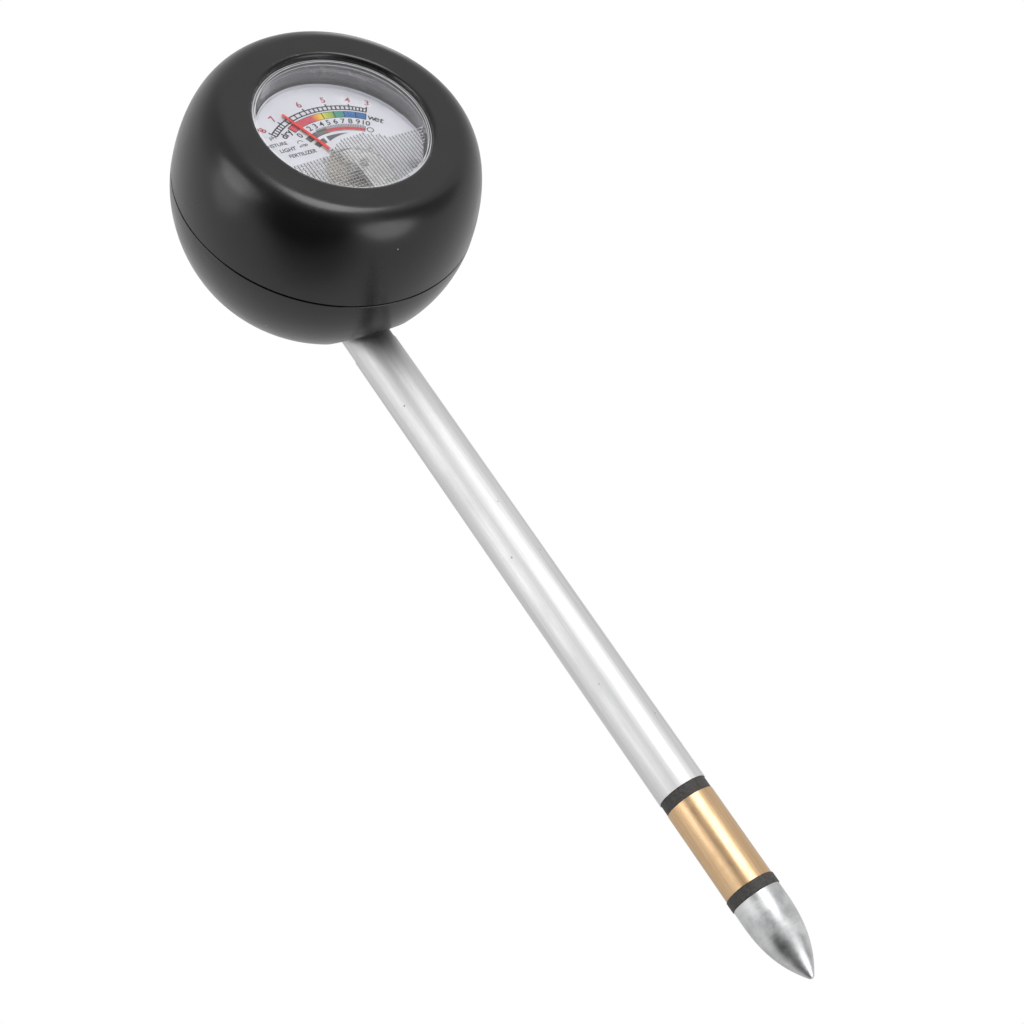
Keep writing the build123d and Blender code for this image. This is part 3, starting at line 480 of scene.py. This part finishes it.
def lettering(bm, words, size, place, turn, h, bold=0.0):
    """Flat letters centred on a place, turned clockwise by degrees."""
    curve = bpy.data.curves.new("letters", "FONT")
    curve.body = words
    curve.size = size
    curve.align_x = "CENTER"
    curve.align_y = "CENTER"
    curve.offset = bold
    holder = bpy.data.objects.new("letters", curve)
    bpy.context.scene.collection.objects.link(holder)
    mesh = bpy.data.meshes.new_from_object(holder.evaluated_get(bpy.context.evaluated_depsgraph_get()))
    mesh.transform(Matrix.Translation((place[0], place[1], h)) @ Matrix.Rotation(-math.radians(turn), 4, "Z"))
    bm.from_mesh(mesh)
    bpy.data.objects.remove(holder)
    bpy.data.meshes.remove(mesh)
    bpy.data.curves.remove(curve)


def along_arc(bm, words, size, radius, start, end, h, bold=0.0):
    """Letters spread along an arc round the pivot."""
    for i, letter in enumerate(words):
        at = start + (end - start) * i / (len(words) - 1)
        lettering(bm, letter, size, polar(radius, at, 0), at, h, bold)


# ---- what is printed on the dial -------------------------------------------------------------------
# Radii are in mm round the pivot, and angles in degrees clockwise from upright.
PRINT = DIAL_FRONT + 0.015
OVERPRINT = DIAL_FRONT + 0.03
PH_LADDER, PH_LONG, PH_SHORT, PH_NUMERALS = (21.94, 23.7), (22.1, 24.4), (22.1, 23.55), 25.9
MOISTURE_BAND, MOISTURE_NUMERALS = (19.2, 21.4), 17.75
LIGHT_DARK, LIGHT_RED, LIGHT_LINE, LIGHT_TICKS = (14.5, 16.2), (14.7, 15.75), (14.45, 14.6), (15.7, 16.75)
FERTILIZER_BAND = (11.9, 13.6)
LADDER_LINE, BAND_LINE = 0.36, 0.15         # widths of the lines along the scales
dark = ink("print_dark", (0.018, 0.018, 0.022))
red = ink("print_red", (0.32, 0.022, 0.04))
grey = ink("print_grey", (0.10, 0.10, 0.105))
ph_marks = [(8, -40.0), (7, -28.3), (6, -7.0), (5, 8.5), (4, 23.0), (3, 34.3)]
FIRST, LAST = -28.0, 34.3                   # where the 0 to 10 scale begins and ends

bm = bmesh.new()
for inner in (PH_LADDER[1] - LADDER_LINE, PH_LADDER[0]):
    arc_band(bm, inner, inner + LADDER_LINE, ph_marks[0][1], ph_marks[-1][1], OVERPRINT)
for (_, here), (_, after) in zip(ph_marks, ph_marks[1:]):
    tick(bm, *PH_LONG, here, 0.38, OVERPRINT)
    for i in range(1, 5):
        tick(bm, *PH_SHORT, here + (after - here) * i / 5, 0.40, OVERPRINT)
tick(bm, *PH_LONG, ph_marks[-1][1], 0.38, OVERPRINT)
piece("ph_scale", bm, [dark])

bm = bmesh.new()
for number, at in ph_marks:
    lettering(bm, str(number), 2.85, polar(PH_NUMERALS, at, 0), at, OVERPRINT, 0.04)
piece("ph_numerals", bm, [red])

bm = bmesh.new()
arc_band(bm, *MOISTURE_BAND, FIRST, LAST, PRINT)
piece("moisture_band", bm, [band_ink("moisture_inks", [
    (-40, (0.55, 0.05, 0.07)), (-6, (0.56, 0.06, 0.09)), (-4, (0.72, 0.20, 0.03)), (0, (0.78, 0.50, 0.03)),
    (2.4, (0.66, 0.62, 0.05)), (6, (0.40, 0.50, 0.06)), (10.5, (0.24, 0.36, 0.07)),
    (11.5, (0.05, 0.28, 0.17)), (18.2, (0.04, 0.24, 0.22)), (19, (0.015, 0.13, 0.36)),
    (40, (0.015, 0.12, 0.37))])])

bm = bmesh.new()
low, high = MOISTURE_BAND[0] - 0.1, MOISTURE_BAND[1] + 0.1
for inner in (high - BAND_LINE, low):
    arc_band(bm, inner, inner + BAND_LINE, FIRST, LAST, OVERPRINT)
for at in (FIRST, 2.4, 11.2, 18.6, 26.8, LAST):
    tick(bm, low, high, at, 0.26, OVERPRINT)
piece("moisture_outline", bm, [dark])

bm = bmesh.new()
for number in range(11):
    at = FIRST + (LAST - FIRST) * number / 10
    lettering(bm, str(number), 2.35, polar(MOISTURE_NUMERALS, at, 0), at, OVERPRINT, 0.05)
along_arc(bm, "dry", 2.6, 20.6, -37.0, -30.6, OVERPRINT, 0.08)
along_arc(bm, "wet", 3.0, 20.4, 38.6, 45.6, OVERPRINT, 0.05)
piece("moisture_numerals", bm, [dark])

bm = bmesh.new()
arc_band(bm, *LIGHT_DARK, FIRST, -2.0, PRINT)
arc_band(bm, *LIGHT_RED, -2.0, LAST, PRINT)
piece("light_band", bm, [band_ink("light_inks", [
    (-40, (0.06, 0.065, 0.06)), (-18, (0.09, 0.095, 0.09)), (-14, (0.13, 0.12, 0.17)),
    (-8, (0.14, 0.15, 0.09)), (-3, (0.22, 0.10, 0.10)), (0, (0.52, 0.05, 0.06)), (40, (0.55, 0.05, 0.06))])])

bm = bmesh.new()
arc_band(bm, *LIGHT_LINE, FIRST, LAST, OVERPRINT)
at = -12.0
while at < LAST:
    tick(bm, *LIGHT_TICKS, at, 0.22, OVERPRINT)
    at += 1.5
tick(bm, 14.5, 16.5, LAST, 0.2, OVERPRINT)
piece("light_ticks", bm, [dark])

bm = bmesh.new()
low, high = FERTILIZER_BAND
arc_band(bm, low, high, -27.5, -12.5, PRINT)
arc_band(bm, lambda at: low + 1.65 * (at + 9) / 26, high, -9, 17, PRINT)        # it tapers to a point
piece("fertilizer_band", bm, [grey])

bm = bmesh.new()
labels = [("pH", (-15.5, 5.9), 1.6), ("MOISTURE", (-16.4, 3.3), 1.5), ("LIGHT", (-13.7, 1.1), 1.6),
          ("x100", (-9.2, 1.35), 1.15), ("FERTILIZER", (-10.6, -1.0), 1.55)]
for words, place, size in labels:
    lettering(bm, words, size, place, 0, OVERPRINT, 0.03)
ring(bm, polar(15.6, 39.0, 0), 0.8, 0, 360, 0.26, OVERPRINT)            # the sun at the light scale's end
ring(bm, polar(16.4, -35.0, 0), 0.75, -100, 80, 0.2, OVERPRINT)         # the shade at its beginning
piece("dial_words", bm, [dark])


# ---- clear window -----------------------------------------------------------------------------------
FACE_FRONT, FACE_BACK = 22.5, 20.5
FLANGE_BACK, FLANGE_FRONT, FLANGE_RADIUS = 15.7, 17.2, 24.3
RIM_RADIUS, RIM_ROUND = 21.3, 0.3           # the face's outer edge is rounded off
WINDOW_TURN = math.radians(2.7)             # the cup sits a little askew in its well
KNURL_PITCH, KNURL_FLAT, KNURL_DEPTH = 0.9, 0.57, 0.2
CHORD, LOBE_V, LOBE_RADIUS = -7.1, -16.2, 12.7      # the field's straight top edge and the lobe over it
FACE_INNER = 20.8                           # the cells stay inside this radius
SEGMENTS = 144
SKIRT_ROWS, RIM_ROWS = range(2, 7), (0, 1, 7, 8, 9, 10, 12)     # of the faces between the profile's points


def grid_point(i, j):
    """Where the knurl's grid lines cross: columns to the right and rows down from the chord."""
    return i * KNURL_PITCH, CHORD - j * KNURL_PITCH


def knurled(i, j):
    """Whether a cell of the square grid lies in the knurled field."""
    u, v = grid_point(i + 0.5, j + 0.5)
    reach = max(math.hypot(*grid_point(i + a, j + b)) for a in (0, 1) for b in (0, 1))
    return reach < FACE_INNER and (v < CHORD or math.hypot(u, v - LOBE_V) < LOBE_RADIUS)


def window_mesh():
    """The cup: a turned wall and face, with small blunt pyramids over the lower part of the face's back."""
    bm = bmesh.new()
    bend = FACE_FRONT - RIM_ROUND
    profile = [(20.82, FACE_BACK), (20.92, FACE_BACK - 0.04), (20.96, FACE_BACK - 0.14),
               (RIM_RADIUS, FLANGE_BACK), (FLANGE_RADIUS, FLANGE_BACK), (FLANGE_RADIUS, FLANGE_FRONT),
               (21.95, FLANGE_FRONT), (RIM_RADIUS + RIM_ROUND, bend)]
    profile += [(RIM_RADIUS + RIM_ROUND * math.cos(a), bend + RIM_ROUND * math.sin(a))
                for a in map(math.radians, (22, 45, 68))]
    profile += [(radius, FACE_FRONT) for radius in (RIM_RADIUS, 20.95, FACE_INNER, 10.0)]
    turns = [2 * math.pi * i / SEGMENTS for i in range(SEGMENTS)]
    rings = [[bm.verts.new((radius * math.cos(turn), radius * math.sin(turn), h)) for turn in turns]
             for radius, h in profile]
    skirt_faces, rim_faces = [], []
    for row, (low, high) in enumerate(zip(rings, rings[1:])):
        for i in range(SEGMENTS):
            j = (i + 1) % SEGMENTS
            face = bm.faces.new((low[i], low[j], high[j], high[i]))
            if row in SKIRT_ROWS:
                skirt_faces.append(face)
            elif row in RIM_ROWS:
                rim_faces.append(face)
    bm.faces.new(rings[-1])
    grid = {}

    def corner(i, j):
        if (i, j) not in grid:
            grid[i, j] = bm.verts.new((*grid_point(i, j), FACE_BACK))
        return grid[i, j]
    painted_shade_faces, painted_lit_faces = [], []
    half = KNURL_FLAT / 2
    for i, j in [(i, j) for i in range(-24, 24) for j in range(-10, 20) if knurled(i, j)]:
        around = [corner(i, j), corner(i + 1, j), corner(i + 1, j + 1), corner(i, j + 1)]
        u, v = grid_point(i + 0.5, j + 0.5)
        top = [bm.verts.new((u + du * half, v + dv * half, FACE_BACK - KNURL_DEPTH))
               for du, dv in ((-1, 1), (1, 1), (1, -1), (-1, -1))]
        bm.faces.new(top)
        # Two sides of each cell get the pale facet, which is painted light, and two get the dark facet, which
        # is painted shade.
        for k, faces in enumerate((painted_lit_faces, painted_shade_faces, painted_shade_faces, painted_lit_faces)):
            after = (k + 1) % 4
            faces.append(bm.faces.new((around[k], around[after], top[after], top[k])))
    rim = [bm.edges.get((rings[0][i], rings[0][(i + 1) % SEGMENTS])) for i in range(SEGMENTS)]
    field_edges = [edge for edge in bm.edges if len(edge.link_faces) == 1 and edge not in rim]
    bmesh.ops.triangle_fill(bm, use_beauty=True, use_dissolve=False, edges=rim + field_edges)
    bmesh.ops.recalc_face_normals(bm, faces=bm.faces)
    for index, faces in ((1, skirt_faces), (2, painted_lit_faces), (3, painted_shade_faces), (4, rim_faces)):
        for face in faces:
            face.material_index = index
    bm.transform(Matrix.Rotation(WINDOW_TURN, 4, "Z"))
    open_edges = [edge for edge in bm.edges if len(edge.link_faces) != 2]
    if open_edges:
        raise RuntimeError(f"the window has {len(open_edges)} open edges")
    return bm


# The wall is clear plastic with a grey cast; its left side is made paler by painted light.
skirt = clear("window_skirt", (0.80, 0.80, 0.81), milky=0.2, left_painted_light=0.5)
# Lit and shaded copies of one facet: painted light and painted shade on the knurl's sloping sides.
lit_facet_painted = facet("window_painted_lit_facet", 0.82, 0.9, 0.15)
shaded_facet_painted = facet("window_painted_shade_facet", 0.07, 0.36, 0.4)
# Painted highlight: the rim's rounding and thin edge rings are milky white, for the bright lines round the
# window's edge.
rim_painted_highlight = clear("window_rim_painted_highlight", (0.95, 0.95, 0.96), milky=0.85)
window = piece("window_cup", window_mesh(),
               [finishes["window_clear"], skirt, lit_facet_painted, shaded_facet_painted, rim_painted_highlight],
               smooth_to=25)
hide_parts("window")


# ---- studio ------------------------------------------------------------------------------------------
def direction(azimuth, elevation):
    """Azimuth 0 is -Y, in front of the dial, and 90 is +X. Elevation is towards +Z."""
    a, e = math.radians(azimuth), math.radians(elevation)
    return Vector((math.sin(a) * math.cos(e), -math.cos(a) * math.cos(e), math.sin(e)))


def softbox(name, azimuth, elevation, distance, width, height, radiance, turn=0.0):
    """A soft oval light that faces the head, turned in its own plane by degrees."""
    light = bpy.data.lights.new(name, "AREA")
    light.shape = "ELLIPSE"
    light.size, light.size_y = width, height
    light.energy = radiance * math.pi * (math.pi / 4 * width * height)
    obj = bpy.data.objects.new(name, light)
    obj.location = HEAD_CENTRE + direction(azimuth, elevation) * distance
    facing = direction(azimuth, elevation).to_track_quat("Z", "Y")
    obj.rotation_euler = (facing @ Matrix.Rotation(math.radians(turn), 4, "Z").to_quaternion()).to_euler()
    obj.visible_camera = False
    bpy.context.scene.collection.objects.link(obj)


softbox("key_softbox", 5, 5, 0.9, 0.68, 0.40, 5.0, turn=38)
softbox("side_softbox", -70, 15, 0.9, 0.48, 0.54, 2.3)
softbox("side_fill", -92, 16, 0.9, 0.56, 0.46, 1.0)
softbox("low_softbox", 24, -63, 0.6, 0.38, 0.37, 2.2)
softbox("top_softbox", 84, 50, 0.9, 0.66, 0.23, 1.2)

world = bpy.data.worlds.new("studio")
bpy.context.scene.world = world
world.use_nodes = True
sky = Nodes(world.node_tree)
where = sky.add("ShaderNodeTexCoord").outputs["Generated"]


def dimmed(level, azimuth, elevation, inner, outer, factor):
    """Dims the surroundings round one direction: by factor inside, not at all outside, in degrees."""
    facing = sky.add("ShaderNodeVectorMath", {0: where, 1: direction(azimuth, elevation)},
                     operation="DOT_PRODUCT").outputs["Value"]
    share = sky.scaled(facing, math.cos(math.radians(outer)), math.cos(math.radians(inner)), 1.0, factor,
                       smooth=True)
    return sky.maths("MULTIPLY", level, share)


level = 0.80
for azimuth, elevation, inner, outer, factor in (
        (-62, -36, 24, 46, 0.04), (-100, -50, 10, 40, 0.35), (-22, -32, 6, 24, 0.35), (-36, 2, 6, 24, 0.38),
        (30, -24, 5, 20, 0.40), (58, -26, 8, 26, 0.38), (-50, 50, 12, 42, 0.72), (175, -10, 10, 40, 0.85)):
    level = dimmed(level, azimuth, elevation, inner, outer, factor)
seen = sky.add("ShaderNodeLightPath").outputs["Is Camera Ray"]
strength = sky.add("ShaderNodeMix", {"Factor": seen, "A": level, "B": 1.0}, data_type="FLOAT").outputs[0]
background = world.node_tree.nodes["Background"]
background.inputs["Color"].default_value = (1, 1, 1, 1)
world.node_tree.links.new(strength, background.inputs["Strength"])

FLOOR_Z, REACH = -0.6, 30.0
floor_mesh = bpy.data.meshes.new("floor")
floor_mesh.from_pydata([(-REACH, -REACH, FLOOR_Z), (REACH, -REACH, FLOOR_Z), (REACH, REACH, FLOOR_Z),
                        (-REACH, REACH, FLOOR_Z)], [], [(0, 1, 2, 3)])
floor = bpy.data.objects.new("floor", floor_mesh)
bpy.context.scene.collection.objects.link(floor)
pale = Look("floor_pale")
pale.colour(pale.mixed(pale.noise(3.0, 2.0), (0.88, 0.88, 0.88), (0.92, 0.92, 0.92)))
pale.roughness(pale.scaled(pale.noise(5.0, 2.0), 0.3, 0.7, 0.7, 0.8))
floor_mesh.materials.append(pale.material)
floor.visible_glossy = False
floor.visible_diffuse = False
floor.visible_transmission = False

STANDS, LOOKING = (-0.22510, -0.36044, -0.23217), Vector((0.49797, 0.77840, 0.38225))
ROLL = math.radians(-35.046)
camera_data = bpy.data.cameras.new("camera")
camera_data.lens = 68.155
camera_data.sensor_width = 36.0
camera_data.clip_start = 0.01
camera = bpy.data.objects.new("camera", camera_data)
bpy.context.scene.collection.objects.link(camera)
camera.location = STANDS
camera.rotation_mode = "QUATERNION"
level_view = LOOKING.to_track_quat("-Z", "Y")
camera.rotation_quaternion = level_view @ Matrix.Rotation(ROLL, 4, "Z").to_quaternion()
bpy.context.scene.camera = camera
bpy.context.scene.view_settings.view_transform = "Standard"
